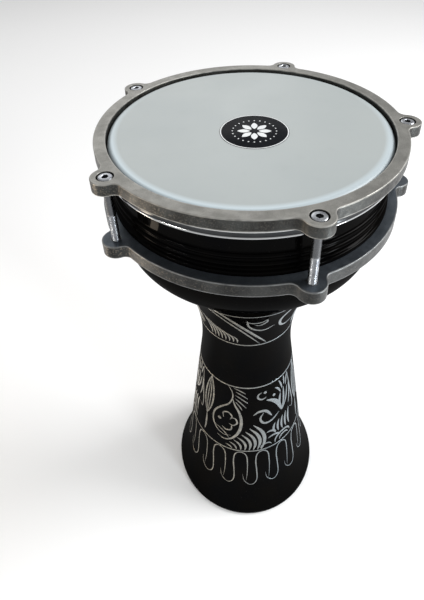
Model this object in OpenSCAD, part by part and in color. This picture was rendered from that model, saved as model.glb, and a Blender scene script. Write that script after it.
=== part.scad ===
// Goblet drum: a spun kettle on a flaring stem, a synthetic head on a flesh hoop,
// and two cast rings drawn together by five socket screws.
// Z is up, the drum's axis is Z, and the origin is the centre of the foot's mouth.

/* [Overall] */
// Height from the floor to the top face of the upper ring
overall_h = 436; // [390:1:500]
// Outer radius of the kettle's wall
shell_r = 100; // [88:0.5:120]
// Thickness of the kettle's and the stem's sheet
wall_t = 2; // [1.6:0.1:2.4]

/* [Rings] */
// Gap between the kettle's wall and both rings
ring_gap = 1.5; // [1.3:0.1:2]
// Width of both rings across the flat, without the lugs
ring_w = 8.5; // [7:0.5:11]
// Thickness of the upper ring
top_ring_t = 9; // [8:0.5:11]
// Thickness of the lower ring
lower_ring_t = 10; // [8:0.5:12]
// Distance between the top faces of the two rings
ring_spacing = 50; // [44:1:60]
// How far the lugs' centres stand outside the rings' edge
lug_out = 2; // [1:0.5:4]
// Radius of a lug's round end
lug_r = 9.6; // [8.6:0.2:12]
// Radius of the hollow fillet between a lug and its ring
lug_fillet_r = 6; // [4:0.5:9]
// Number of lugs and screws
lug_count = 5; // [5]
// Direction of the first lug
lug_phase = 218.3; // [180:0.1:252]

/* [Tension screws] */
// Radius of a screw's shank
screw_r = 3; // [2.5:0.25:3.5]
// Radial clearance of a screw in its tapped hole
thread_gap = 0.05; // [0.02:0.01:0.1]
// Radial clearance of a screw in the upper lug
clear_gap = 0.4; // [0.2:0.1:0.6]
// Radius of a screw's head
head_r = 5.2; // [4.6:0.1:5.6]
// Height of a screw's head
head_h = 3.4; // [3:0.1:4]
// Radial clearance round a head in its recess
head_gap = 0.5; // [0.3:0.1:1.2]
// Depth of that recess
recess_h = 3.5; // [3.1:0.1:4.5]
// Radius of the hexagon socket across its corners
socket_r = 2.3; // [1.8:0.1:2.6]
// Depth of the socket
socket_h = 2; // [1.5:0.1:2.4]
// How far a screw stands out below the lower ring
screw_out = 2; // [1:0.5:6]

/* [Head] */
// Drop from the upper ring's top face to the head's surface
head_drop = 2; // [1:0.5:4]
// Thickness of the film
film_t = 0.3; // [0.2:0.05:0.5]
// Radius of the rolled bearing edge
bead_r = 3; // [2.5:0.1:3.6]
// Gap between the film and the bearing edge
seat_gap = 0.1; // [0.05:0.05:0.2]
// Gap between the film's skirt and the kettle's wall
skirt_gap = 0.5; // [0.4:0.05:0.6]
// Gap between the flesh hoop and the kettle's wall
hoop_gap = 1.2; // [1.1:0.1:1.6]
// Width of the flesh hoop's channel
hoop_w = 4; // [3.5:0.5:5]
// Height of the flesh hoop
hoop_h = 10.5; // [9:0.5:13]
// Thickness of the hoop's sheet
hoop_t = 0.8; // [0.6:0.1:1]
// Radius of the round label on the head
sticker_r = 24.5; // [18:0.5:30]
// Thickness of the label
sticker_t = 0.2; // [0.1:0.05:0.3]
// Place of the label's centre on the head
sticker_at = [4, -8]; // [-20:0.5:20]

/* [Kettle] */
// Height of the lower rib's centre above the lower ring
rib_rise = 8.5; // [7:0.5:10]
// Distance between the two ribs
rib_pitch = 6.5; // [5:0.5:8]
// Radius of a rib's round section
rib_r = 2; // [1.5:0.1:2.4]
// How far the stop above the lower ring stands out of the wall
stop_out = 2.8; // [2.4:0.1:3.6]
// Height of that stop
stop_h = 3.5; // [2.5:0.5:4]
// Straight wall between the lower ring and the shoulder
wall_below_ring = 13.5; // [6:0.5:24]
// Radius of the kettle's shoulder
shoulder_r = 34.5; // [30:0.5:42]
// Slope of the kettle's floor below the horizontal
floor_angle = 15; // [10:1:20]
// Width of the floor between the shoulder and the collar's fillet
floor_w = 0.5; // [0.3:0.1:4]
// Height of the collar that takes the stem
collar_h = 6.5; // [6:0.5:10]
// Radius of the hollow fillet between floor and collar
collar_fillet_r = 6; // [4:0.5:8]

/* [Stem] */
// Radial gap of the stem's spigot in the collar
joint_gap = 0.1; // [0.05:0.05:0.2]
// Height of the seam bead under the collar
seam_h = 3; // [2:0.5:4]
// Radius of the stem's waist
waist_r = 42.4; // [36:0.2:50]
// Height of the waist above the floor
waist_z = 221; // [190:1:250]
// Radius of the gentle curve just under the waist
waist_curve_r = 190; // [120:5:260]
// Slope of the stem's cone from the vertical
cone_angle = 7.1; // [5:0.1:8.5]

/* [Foot] */
// Outer radius of the foot
foot_r = 76.5; // [70:0.5:92]
// Height at which the cone begins to flare
flare_z = 58; // [48:1:70]
// Width of the rolled hem
hem_w = 5.5; // [5:0.5:7]
// Height of the hem
hem_h = 5; // [5:0.5:7]
// Radius of the hem's outer curl
curl_r = 2.7; // [2.6:0.1:3]
// Radius of the steel wire in each rolled edge
wire_r = 1.45; // [1.2:0.05:1.5]
// Gap round each wire
wire_gap = 0.05; // [0.02:0.01:0.1]

/* [Hidden] */
$fn = 96;
eps = 0.01;

// Heights, all measured up from the floor
top_ring_z = overall_h - top_ring_t;
lower_ring_top_z = overall_h - ring_spacing;
lower_ring_z = lower_ring_top_z - lower_ring_t;
film_top_z = overall_h - head_drop;
bead_z = film_top_z - film_t - seat_gap - bead_r;
shoulder_z = lower_ring_z - wall_below_ring;
hoop_z = top_ring_z - hoop_h;
rib_zs = [lower_ring_top_z + rib_rise, lower_ring_top_z + rib_rise + rib_pitch];

// Radii
ring_inner_r = shell_r + ring_gap;
ring_outer_r = ring_inner_r + ring_w;
lug_pcd_r = ring_outer_r + lug_out;
hoop_inner_r = shell_r + hoop_gap;
hoop_outer_r = hoop_inner_r + hoop_w;
collar_r = shell_r - (shoulder_r + collar_fillet_r) * (1 - sin(floor_angle)) - floor_w;
mouth_r = foot_r - hem_w;

// The film: how far its edge arc stands out of the bearing edge, its step out under the ring,
// and how deep it goes into the hoop's channel
film_edge_out = 0.1;
film_edge_grow = 0.4;
film_step_up = 0.2;
film_step_drop = 1;
film_hold_in = 0.6;
film_foot = 2.5;
resin_top = 4;
hoop_inner_short = 2;

// The kettle's outline: shoulder arc, sloping floor, fillet, collar
shoulder_c = [shell_r - shoulder_r, shoulder_z];
floor_start = shoulder_c + shoulder_r * [sin(floor_angle), -cos(floor_angle)];
fillet_start_r = collar_r + collar_fillet_r * (1 - sin(floor_angle));
fillet_start_z = floor_start[1] - tan(floor_angle) * (floor_start[0] - fillet_start_r);
fillet_c = [collar_r + collar_fillet_r, fillet_start_z - collar_fillet_r * cos(floor_angle)];
seam_z = fillet_c[1] - collar_h;

// The stem's outline: spigot, seam bead, neck arc, waist arc, cone, flare
spigot_r = collar_r - wall_t - joint_gap;
spigot_short = 1;
spigot_h = collar_h - spigot_short;
neck_step = 0.4;
neck_top_z = seam_z - seam_h;
neck_top_r = spigot_r - neck_step;
neck_rise = neck_top_z - waist_z;
neck_in = neck_top_r - waist_r;
neck_r = (neck_rise * neck_rise + neck_in * neck_in) / (2 * neck_in);
neck_angle = asin(neck_rise / neck_r);
cone_top_r = waist_r + waist_curve_r * (1 - cos(cone_angle));
cone_top_z = waist_z - waist_curve_r * sin(cone_angle);
flare_start_r = cone_top_r + tan(cone_angle) * (cone_top_z - flare_z);
flare_drop = flare_z - hem_h;
flare_out = foot_r - flare_start_r;
flare_end_angle = 2 * atan(flare_out / flare_drop) - cone_angle;
flare_r = flare_drop / (sin(flare_end_angle) - sin(cone_angle));
flare_c = [flare_start_r + flare_r * cos(cone_angle), flare_z + flare_r * sin(cone_angle)];
curl_out = 0.3;
curl_sink = 0.1;
curl_c = [foot_r - curl_r + curl_out, curl_r - curl_sink];

// The stop's section, as shares of its own size
stop_round_out = 0.5;
stop_round_up = 0.85;

// Screws: the head's rounded rim in two steps, as shares of its height and cuts of its radius
screw_head_z = overall_h - recess_h;
recess_r = head_r + head_gap;
screw_tip_z = lower_ring_z - screw_out;
tip_chamfer = 0.5;
rim_up = [0.45, 0.8];
rim_cut = [0.5, 1.6];

// The rings' outline: each lug's round end, a hollow fillet on both its sides, and the rim between
lug_step = 360 / lug_count;
fillet_at = ring_outer_r + lug_fillet_r;
lug_reach = lug_r + lug_fillet_r;
swing = acos((fillet_at ^ 2 + lug_pcd_r ^ 2 - lug_reach ^ 2) / (2 * fillet_at * lug_pcd_r));
lug_open = atan2(fillet_at * sin(swing), fillet_at * cos(swing) - lug_pcd_r);
fillet_steps = 6;
lug_steps = 16;
rim_steps = 20;

// How far a cutting body runs past what it cuts
over = 1;

// Points on an arc from angle a0 to a1, both ends included
function arc(c, r, a0, a1, n) =
    [for (i = [0:n]) c + r * [cos(a0 + (a1 - a0) * i / n), sin(a0 + (a1 - a0) * i / n)]];

// The same without its two ends
function arc_inside(c, r, a0, a1, n) = let (p = arc(c, r, a0, a1, n)) [for (i = [1:n - 1]) p[i]];

function turned(points, a) =
    [for (p = points) [p[0] * cos(a) - p[1] * sin(a), p[0] * sin(a) + p[1] * cos(a)]];

function reversed(points) = [for (i = [len(points) - 1:-1:0]) points[i]];

// The kettle's surface at depth t under its outer skin, from the bearing edge to the collar
function kettle_line(t) = concat(
    [[shell_r - t, bead_z]],
    arc(shoulder_c, shoulder_r - t, 0, floor_angle - 90, 18),
    arc(fillet_c, collar_fillet_r + t, 90 + floor_angle, 180, 6),
    [[collar_r - t, seam_z]]
);

// The stem's surface at depth t under its outer skin, from the seam to the foot
function stem_line(t) = concat(
    arc([waist_r + neck_r, waist_z], neck_r + t, 180 - neck_angle, 180, 20),
    arc([waist_r + waist_curve_r, waist_z], waist_curve_r + t, 180, 180 + cone_angle, 3),
    arc(flare_c, flare_r + t, 180 + cone_angle, 180 + flare_end_angle, 12)
);

// The film's surface, d inside its outer face, from the axis to its end in the hoop
function film_line(d) =
    let (
        c = [shell_r - bead_r + film_edge_out, film_top_z - film_t - bead_r - film_edge_grow],
        r = bead_r + film_edge_grow + film_t - d,
        hold_r = hoop_inner_r + hoop_t + film_hold_in
    )
    concat(
        [[0, c[1] + r]],
        arc(c, r, 90, 0, 8),
        [
            [c[0] + r, top_ring_z + film_step_up - d / 2],
            [hold_r + film_t - d, top_ring_z - film_step_drop - d / 2],
            [hold_r + film_t - d, hoop_z + film_foot]
        ]
    );

// One lug's share of the rings' outline, the lug standing on the X axis
function lug_outline() = concat(
    arc(fillet_at * [cos(swing), -sin(swing)], lug_fillet_r, 180 - swing, 180 - lug_open, fillet_steps),
    arc_inside([lug_pcd_r, 0], lug_r, -lug_open, lug_open, lug_steps),
    arc(fillet_at * [cos(swing), sin(swing)], lug_fillet_r, lug_open - 180, swing - 180, fillet_steps),
    arc_inside([0, 0], ring_outer_r, swing, lug_step - swing, rim_steps)
);

function ring_outline() =
    [for (i = [0:lug_count - 1]) each turned(lug_outline(), lug_phase + i * lug_step)];

module at_lug(i) {
    rotate([0, 0, lug_phase - i * lug_step])
        translate([lug_pcd_r, 0, 0])
            children();
}

// A flat ring with its lugs, standing on z = 0
module lugged_ring(h) {
    difference() {
        linear_extrude(h) polygon(ring_outline());
        translate([0, 0, -over]) cylinder(r = ring_inner_r, h = h + 2 * over, $fn = 192);
    }
}

module rolled_wire(at) {
    rotate_extrude() translate(at) circle(r = wire_r, $fn = 32);
}

module kettle() {
    inside_r = shell_r - wall_t / 2;
    bead_at = [shell_r - bead_r, bead_z];
    color("#101113") difference() {
        union() {
            rotate_extrude() polygon(concat(kettle_line(0), reversed(kettle_line(wall_t))));
            rotate_extrude() translate(bead_at) circle(r = bead_r, $fn = 48);
            for (z = rib_zs)
                rotate_extrude() translate([shell_r, z]) intersection() {
                    circle(r = rib_r, $fn = 32);
                    translate([-wall_t / 2, -rib_r]) square([wall_t / 2 + rib_r, 2 * rib_r]);
                }
            rotate_extrude() polygon([
                [inside_r, lower_ring_top_z],
                [shell_r + stop_out, lower_ring_top_z],
                [shell_r + stop_out, lower_ring_top_z + stop_h / 2],
                [shell_r + stop_out * stop_round_out, lower_ring_top_z + stop_h * stop_round_up],
                [inside_r, lower_ring_top_z + stop_h]
            ]);
        }
        rotate_extrude() translate(bead_at) circle(r = wire_r + wire_gap, $fn = 32);
    }
}

module edge_wire() {
    color("#8c8f92") rolled_wire([shell_r - bead_r, bead_z]);
}

module stem() {
    inner_r = spigot_r - wall_t;
    bead_c = [collar_r - seam_h / 2, neck_top_z + seam_h / 2];
    color("#0d0e10") difference() {
        union() {
            rotate_extrude() polygon(concat(stem_line(0), reversed(stem_line(wall_t))));
            rotate_extrude() translate([inner_r, neck_top_z]) square([wall_t, seam_h + spigot_h]);
            rotate_extrude() translate([inner_r, neck_top_z]) square([bead_c[0] - inner_r, seam_h]);
            rotate_extrude() translate(bead_c) circle(r = seam_h / 2, $fn = 32);
            rotate_extrude() translate([mouth_r, 0]) square([curl_c[0] - mouth_r, hem_h]);
            rotate_extrude() intersection() {
                translate(curl_c) circle(r = curl_r, $fn = 48);
                translate([mouth_r, 0]) square([hem_w + over, hem_h + over]);
            }
        }
        rotate_extrude() translate(curl_c) circle(r = wire_r + wire_gap, $fn = 32);
    }
}

module foot_wire() {
    color("#8c8f92") rolled_wire(curl_c);
}

module lower_ring() {
    color("#8f8e8b") difference() {
        translate([0, 0, lower_ring_z]) lugged_ring(lower_ring_t);
        for (i = [0:lug_count - 1])
            at_lug(i) translate([0, 0, lower_ring_z - over])
                cylinder(r = screw_r + thread_gap, h = lower_ring_t + 2 * over, $fn = 48);
    }
}

module top_ring() {
    color("#9a9996") difference() {
        translate([0, 0, top_ring_z]) lugged_ring(top_ring_t);
        for (i = [0:lug_count - 1])
            at_lug(i) {
                translate([0, 0, top_ring_z - over])
                    cylinder(r = screw_r + clear_gap, h = top_ring_t + 2 * over, $fn = 48);
                translate([0, 0, screw_head_z]) cylinder(r = recess_r, h = recess_h + over, $fn = 64);
            }
    }
}

module flesh_hoop() {
    inner_h = hoop_h - hoop_inner_short;
    color("#c9ccd0") translate([0, 0, hoop_z]) rotate_extrude() union() {
        translate([hoop_inner_r, 0]) square([hoop_w, hoop_t]);
        translate([hoop_inner_r, 0]) square([hoop_t, inner_h]);
        translate([hoop_outer_r - hoop_t, 0]) square([hoop_t, hoop_h]);
    }
}

module hoop_resin() {
    color("#d8cfae") rotate_extrude() difference() {
        translate([hoop_inner_r + hoop_t, hoop_z + hoop_t])
            square([hoop_w - 2 * hoop_t, hoop_h - hoop_t - resin_top]);
        film_section();
    }
}

module film_section() {
    polygon(concat(film_line(0), reversed(film_line(film_t))));
}

module drumhead() {
    color("#c3cbcb") rotate_extrude() film_section();
}

module head_sticker() {
    color("#15171a") translate([sticker_at[0], sticker_at[1], film_top_z])
        cylinder(r = sticker_r, h = sticker_t);
}

module tension_screw(i) {
    color("#b9bcc0") at_lug(i) difference() {
        union() {
            translate([0, 0, screw_head_z]) rotate_extrude() polygon([
                [0, 0],
                [head_r, 0],
                [head_r, head_h * rim_up[0]],
                [head_r - rim_cut[0], head_h * rim_up[1]],
                [head_r - rim_cut[1], head_h],
                [0, head_h]
            ]);
            translate([0, 0, screw_tip_z + tip_chamfer])
                cylinder(r = screw_r, h = screw_head_z - screw_tip_z - tip_chamfer + eps, $fn = 48);
            translate([0, 0, screw_tip_z])
                cylinder(r1 = screw_r - tip_chamfer, r2 = screw_r, h = tip_chamfer, $fn = 48);
        }
        translate([0, 0, screw_head_z + head_h - socket_h])
            cylinder(r = socket_r, h = socket_h + over, $fn = 6);
    }
}

kettle();
edge_wire();
stem();
foot_wire();
lower_ring();
top_ring();
flesh_hoop();
hoop_resin();
drumhead();
head_sticker();
tension_screw(0);  // tension_screw_1
tension_screw(1);  // tension_screw_2
tension_screw(2);  // tension_screw_3
tension_screw(3);  // tension_screw_4
tension_screw(4);  // tension_screw_5
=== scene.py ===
"""Goblet drum: the visual model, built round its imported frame.

Sizes are in millimetres unless a name says otherwise, and meshes are made in metres.
"""
import logging
import math
from dataclasses import dataclass, field
from enum import Enum
from typing import Optional, Sequence

import bmesh
import bpy
from mathutils import Matrix, Vector
from mathutils.geometry import delaunay_2d_cdt


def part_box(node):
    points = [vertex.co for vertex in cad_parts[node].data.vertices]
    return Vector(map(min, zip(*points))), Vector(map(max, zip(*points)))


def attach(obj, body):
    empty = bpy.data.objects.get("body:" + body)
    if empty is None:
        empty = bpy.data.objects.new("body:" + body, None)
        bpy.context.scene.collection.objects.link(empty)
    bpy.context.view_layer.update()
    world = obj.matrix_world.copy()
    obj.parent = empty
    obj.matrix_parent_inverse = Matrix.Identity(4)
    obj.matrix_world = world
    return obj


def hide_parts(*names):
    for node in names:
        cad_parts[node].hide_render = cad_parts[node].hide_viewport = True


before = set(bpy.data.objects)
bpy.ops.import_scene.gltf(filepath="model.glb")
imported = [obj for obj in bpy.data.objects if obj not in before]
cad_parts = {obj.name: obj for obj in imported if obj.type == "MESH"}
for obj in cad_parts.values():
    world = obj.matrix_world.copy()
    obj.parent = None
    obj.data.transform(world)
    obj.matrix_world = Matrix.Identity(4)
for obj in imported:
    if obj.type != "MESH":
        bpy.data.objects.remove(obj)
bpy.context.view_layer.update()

LOG = logging.getLogger("goblet_drum")
MM = 0.001
EDGE = "edge"
# Attribute that marks side walls, which the cast finish darkens as painted shade.
WALL = "wall"

Point = tuple[float, float]
Colour = tuple[float, float, float]
Socket = bpy.types.NodeSocket


class Body(Enum):
    """The frame's rigid bodies that the pieces ride on."""

    DRUM = "drum"
    RING = "tension_ring"


class Slot(Enum):
    """The record's material slots."""

    LACQUER = "black_lacquer"
    WIRE = "steel_wire"
    CAST = "cast_ring"
    HOOP = "bright_hoop"
    RESIN = "resin"
    FILM = "film"
    LABEL = "label"
    SCREW = "zinc_screw"


# ---------------------------------------------------------------- node trees


class Net:
    """Writes nodes and links into one node tree."""

    def __init__(self, tree: bpy.types.NodeTree) -> None:
        """Starts on an empty tree.

        Args:
            tree: The shader or geometry tree to write into.
        """
        self.tree = tree
        tree.nodes.clear()

    def add(
        self, kind: str, settings: Optional[dict] = None, feeds: Optional[dict] = None
    ) -> bpy.types.Node:
        """Adds one node.

        Args:
            kind: The node's type name.
            settings: Properties to set on the node.
            feeds: Input name or number to a value or an output socket.

        Returns:
            The new node.
        """
        node = self.tree.nodes.new(kind)
        for key, value in (settings or {}).items():
            setattr(node, key, value)
        for key, value in (feeds or {}).items():
            self.feed(node.inputs[key], value)
        return node

    def feed(self, target: Socket, value: object) -> None:
        """Links a socket to an input, or sets the input's own value."""
        if isinstance(value, bpy.types.NodeSocket):
            self.tree.links.new(value, target)
        else:
            target.default_value = value

    def calc(self, operation: str, *values: object) -> Socket:
        """One math node.

        Args:
            operation: The math node's operation.
            *values: Its inputs in order.

        Returns:
            The result's socket.
        """
        feeds = dict(enumerate(values))
        return self.add("ShaderNodeMath", {"operation": operation}, feeds).outputs[0]

    def noise(self, coords: Socket, size_mm: float, detail: float = 2.0) -> Socket:
        """Noise whose features are about size_mm across."""
        feeds = {"Vector": coords, "Scale": 1 / (size_mm * MM), "Detail": detail}
        return self.add("ShaderNodeTexNoise", {}, feeds).outputs["Fac"]

    def span(self, value: Socket, low: float, high: float, out: Point = (0, 1)) -> Socket:
        """Maps low to high onto out, clamped."""
        feeds = {"Value": value, 1: low, 2: high, 3: out[0], 4: out[1]}
        return self.add("ShaderNodeMapRange", {}, feeds).outputs["Result"]

    def mix(self, share: object, first: object, second: object) -> Socket:
        """Mixes two colours.

        Args:
            share: How much of the second, from 0 to 1.
            first: A colour or a colour socket.
            second: A colour or a colour socket.

        Returns:
            The mixed colour.
        """
        node = self.add("ShaderNodeMix", {"data_type": "RGBA"})
        self.feed(node.inputs[0], share)
        for number, value in ((6, first), (7, second)):
            whole = value if isinstance(value, bpy.types.NodeSocket) else (*value, 1)
            self.feed(node.inputs[number], whole)
        return node.outputs[2]

    def stretched(self, coords: Socket, scale: Sequence[float]) -> Socket:
        """Object coordinates scaled along each axis, for streaks."""
        return self.add("ShaderNodeMapping", {}, {"Vector": coords, "Scale": scale}).outputs[0]


def modifier_input(modifier: bpy.types.Modifier, name: str, value: object) -> None:
    """Sets a geometry tree's input by its socket's identifier.

    Args:
        modifier: The Geometry Nodes modifier.
        name: The input's name in the tree.
        value: What to set it to.
    """
    for item in modifier.node_group.interface.items_tree:
        if item.item_type == "SOCKET" and item.in_out == "INPUT" and item.name == name:
            modifier[item.identifier] = value
            return
    raise KeyError(name)


class GeometryTree:
    """A Geometry Nodes tree with named inputs that is run once and frozen into a mesh."""

    name = "tree"
    inputs: tuple[tuple[str, str], ...] = ()

    def __init__(self) -> None:
        """Writes the tree with its named inputs and one geometry output."""
        tree = bpy.data.node_groups.new(self.name, "GeometryNodeTree")
        face = tree.interface
        face.new_socket(name="Geometry", in_out="INPUT", socket_type="NodeSocketGeometry")
        for label, kind in (*self.inputs, ("Finish", "NodeSocketMaterial")):
            face.new_socket(name=label, in_out="INPUT", socket_type=kind)
        face.new_socket(name="Geometry", in_out="OUTPUT", socket_type="NodeSocketGeometry")
        self.net = Net(tree)
        self.given = self.net.add("NodeGroupInput").outputs
        made = self.write()
        for kind, feeds in (
            ("GeometryNodeRealizeInstances", {}),
            ("GeometryNodeMergeByDistance", {"Distance": 1e-6}),
            ("GeometryNodeSetShadeSmooth", {}),
            ("GeometryNodeSetMaterial", {"Material": self.given["Finish"]}),
        ):
            made = self.net.add(kind, {}, {"Geometry": made, **feeds}).outputs[0]
        self.net.add("NodeGroupOutput", {}, {"Geometry": made})

    def write(self) -> Socket:
        """Writes the part of the tree that makes the shape, and returns its geometry."""
        raise NotImplementedError

    def run(
        self, piece: str, seed: bpy.types.Mesh, finish: bpy.types.Material, **values: object
    ) -> bpy.types.Mesh:
        """Runs the tree on a mesh and returns the result as a plain mesh.

        Args:
            piece: The name of the piece that the mesh is for.
            seed: The mesh that the tree starts from.
            finish: The material that the tree sets.
            **values: The other inputs; an underscore stands for a space.

        Returns:
            A new mesh with the tree's result.
        """
        holder = bpy.data.objects.new(f"{piece}_seed", seed)
        bpy.context.scene.collection.objects.link(holder)
        modifier = holder.modifiers.new(self.name, "NODES")
        modifier.node_group = self.net.tree
        modifier_input(modifier, "Finish", finish)
        for label, value in values.items():
            modifier_input(modifier, label.replace("_", " ").capitalize(), value)
        bpy.context.view_layer.update()
        evaluated = holder.evaluated_get(bpy.context.evaluated_depsgraph_get())
        mesh = bpy.data.meshes.new_from_object(evaluated)
        mesh.name = piece
        holder.modifiers.clear()
        bpy.data.objects.remove(holder)
        return mesh


class TurningTree(GeometryTree):
    """Turns an outline round the drum's axis. The seed mesh is the outline, in order, in XZ."""

    name = "turning"
    inputs = (("Turns", "NodeSocketInt"),)

    def write(self) -> Socket:
        """Lays a grid over the outline's points and the turn's angle, and bends it round.

        Returns:
            The geometry to finish.
        """
        net, given = self.net, self.given
        outline = given["Geometry"]
        count = net.add("GeometryNodeAttributeDomainSize", {}, {0: outline}).outputs["Point Count"]
        across = net.calc("ADD", given["Turns"], 1)
        grid = net.add(
            "GeometryNodeMeshGrid",
            {},
            {"Size X": 1.0, "Size Y": 1.0, "Vertices X": across, "Vertices Y": count},
        ).outputs["Mesh"]
        place = net.add("GeometryNodeInputPosition").outputs[0]
        flat = net.add("ShaderNodeSeparateXYZ", {}, {0: place}).outputs
        angle = net.calc("MULTIPLY", net.calc("ADD", flat[0], 0.5), math.tau)
        along = net.calc("MULTIPLY", net.calc("ADD", flat[1], 0.5), net.calc("SUBTRACT", count, 1))
        picked = net.add(
            "GeometryNodeSampleIndex",
            {"data_type": "FLOAT_VECTOR"},
            {"Geometry": outline, "Value": place, "Index": net.calc("ROUND", along)},
        ).outputs[0]
        at = net.add("ShaderNodeSeparateXYZ", {}, {0: picked}).outputs
        turned = net.add(
            "ShaderNodeCombineXYZ",
            {},
            {
                0: net.calc("MULTIPLY", at[0], net.calc("COSINE", angle)),
                1: net.calc("MULTIPLY", at[0], net.calc("SINE", angle)),
                2: at[2],
            },
        ).outputs[0]
        return net.add("GeometryNodeSetPosition", {}, {0: grid, "Position": turned}).outputs[0]


class WrappingTree(GeometryTree):
    """Repeats a flat motif round the stem and lays it on the stem's surface.

    The seed's X is the angle round the axis in radians, its Y the height and its Z the lift.
    """

    name = "wrapping"
    inputs = (("Stem", "NodeSocketObject"), ("Repeats", "NodeSocketInt"))

    def write(self) -> Socket:
        """Instances the motif along the angle, then casts each point inwards onto the stem.

        Returns:
            The geometry to finish.
        """
        net, given = self.net, self.given
        step = net.calc("DIVIDE", math.tau, given["Repeats"])
        offset = net.add("ShaderNodeCombineXYZ", {}, {0: step}).outputs[0]
        row = net.add(
            "GeometryNodeMeshLine", {}, {"Count": given["Repeats"], "Offset": offset}
        ).outputs[0]
        copies = net.add(
            "GeometryNodeInstanceOnPoints", {}, {"Points": row, "Instance": given["Geometry"]}
        ).outputs[0]
        flat = net.add("GeometryNodeRealizeInstances", {}, {0: copies}).outputs[0]
        place = net.add("GeometryNodeInputPosition").outputs[0]
        at = net.add("ShaderNodeSeparateXYZ", {}, {0: place}).outputs
        cosine, sine = net.calc("COSINE", at[0]), net.calc("SINE", at[0])
        outwards = net.add("ShaderNodeCombineXYZ", {}, {0: cosine, 1: sine}).outputs[0]
        inwards = self.scaled(outwards, -1.0)
        far = self.scaled(outwards, 0.2)
        height = net.add("ShaderNodeCombineXYZ", {}, {2: at[1]}).outputs[0]
        surface = net.add(
            "GeometryNodeObjectInfo", {"transform_space": "RELATIVE"}, {0: given["Stem"]}
        ).outputs["Geometry"]
        cast = net.add(
            "GeometryNodeRaycast",
            {},
            {
                "Target Geometry": surface,
                "Source Position": self.summed(far, height),
                "Ray Direction": inwards,
                "Ray Length": 0.3,
            },
        ).outputs
        laid = self.summed(cast["Hit Position"], self.scaled(outwards, at[2]))
        return net.add("GeometryNodeSetPosition", {}, {0: flat, "Position": laid}).outputs[0]

    def scaled(self, vector: Socket, factor: object) -> Socket:
        """A vector times a number."""
        node = self.net.add("ShaderNodeVectorMath", {"operation": "SCALE"}, {0: vector})
        self.net.feed(node.inputs["Scale"], factor)
        return node.outputs[0]

    def summed(self, first: Socket, second: Socket) -> Socket:
        """The sum of two vectors."""
        return self.net.add("ShaderNodeVectorMath", {}, {0: first, 1: second}).outputs[0]


class ThreadTree(GeometryTree):
    """A screw thread round the Z axis from Low to High. The seed mesh is empty."""

    name = "thread"
    inputs = (
        ("Crest", "NodeSocketFloat"),
        ("Depth", "NodeSocketFloat"),
        ("Pitch", "NodeSocketFloat"),
        ("Low", "NodeSocketFloat"),
        ("High", "NodeSocketFloat"),
        ("Sides", "NodeSocketInt"),
        ("Rows", "NodeSocketInt"),
    )

    def write(self) -> Socket:
        """Bends a grid into a tube whose radius follows the thread's triangle wave.

        Returns:
            The geometry to finish.
        """
        net, given = self.net, self.given
        around = net.calc("ADD", given["Sides"], 1)
        grid = net.add(
            "GeometryNodeMeshGrid",
            {},
            {"Size X": 1.0, "Size Y": 1.0, "Vertices X": around, "Vertices Y": given["Rows"]},
        ).outputs["Mesh"]
        place = net.add("GeometryNodeInputPosition").outputs[0]
        flat = net.add("ShaderNodeSeparateXYZ", {}, {0: place}).outputs
        turn = net.calc("ADD", flat[0], 0.5)
        share = net.calc("ADD", flat[1], 0.5)
        length = net.calc("SUBTRACT", given["High"], given["Low"])
        height = net.calc("MULTIPLY_ADD", share, length, given["Low"])
        phase = net.calc("SUBTRACT", net.calc("DIVIDE", height, given["Pitch"]), turn)
        wave = net.calc("PINGPONG", phase, 0.5)
        cut = net.calc("MULTIPLY", net.calc("MULTIPLY", wave, 2.0), given["Depth"])
        to_end = net.calc("MINIMUM", share, net.calc("SUBTRACT", 1.0, share))
        fade = net.calc("MINIMUM", net.calc("MULTIPLY", to_end, 30.0), 1.0)
        radius = net.calc("SUBTRACT", given["Crest"], net.calc("MULTIPLY", cut, fade))
        angle = net.calc("MULTIPLY", turn, math.tau)
        bent = net.add(
            "ShaderNodeCombineXYZ",
            {},
            {
                0: net.calc("MULTIPLY", radius, net.calc("COSINE", angle)),
                1: net.calc("MULTIPLY", radius, net.calc("SINE", angle)),
                2: height,
            },
        ).outputs[0]
        return net.add("GeometryNodeSetPosition", {}, {0: grid, "Position": bent}).outputs[0]


class RosetteTree(GeometryTree):
    """Sets copies of a flat petal in a ring round a centre. The seed mesh is the petal."""

    name = "rosette"
    inputs = (("Petals", "NodeSocketInt"), ("Centre", "NodeSocketVector"))

    def write(self) -> Socket:
        """Instances the petal on one point for each petal, turned by its number.

        Returns:
            The geometry to finish.
        """
        net, given = self.net, self.given
        row = net.add(
            "GeometryNodeMeshLine", {}, {"Count": given["Petals"], "Offset": (0.0, 0.0, 0.0)}
        ).outputs[0]
        number = net.add("GeometryNodeInputIndex").outputs[0]
        turn = net.calc("MULTIPLY", number, net.calc("DIVIDE", math.tau, given["Petals"]))
        swing = net.add("ShaderNodeCombineXYZ", {}, {2: turn}).outputs[0]
        ring = net.add(
            "GeometryNodeInstanceOnPoints",
            {},
            {"Points": row, "Instance": given["Geometry"], "Rotation": swing},
        ).outputs[0]
        flat = net.add("GeometryNodeRealizeInstances", {}, {0: ring}).outputs[0]
        return net.add(
            "GeometryNodeSetPosition", {}, {0: flat, "Offset": given["Centre"]}
        ).outputs[0]


# ---------------------------------------------------------------- finishes


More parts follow.
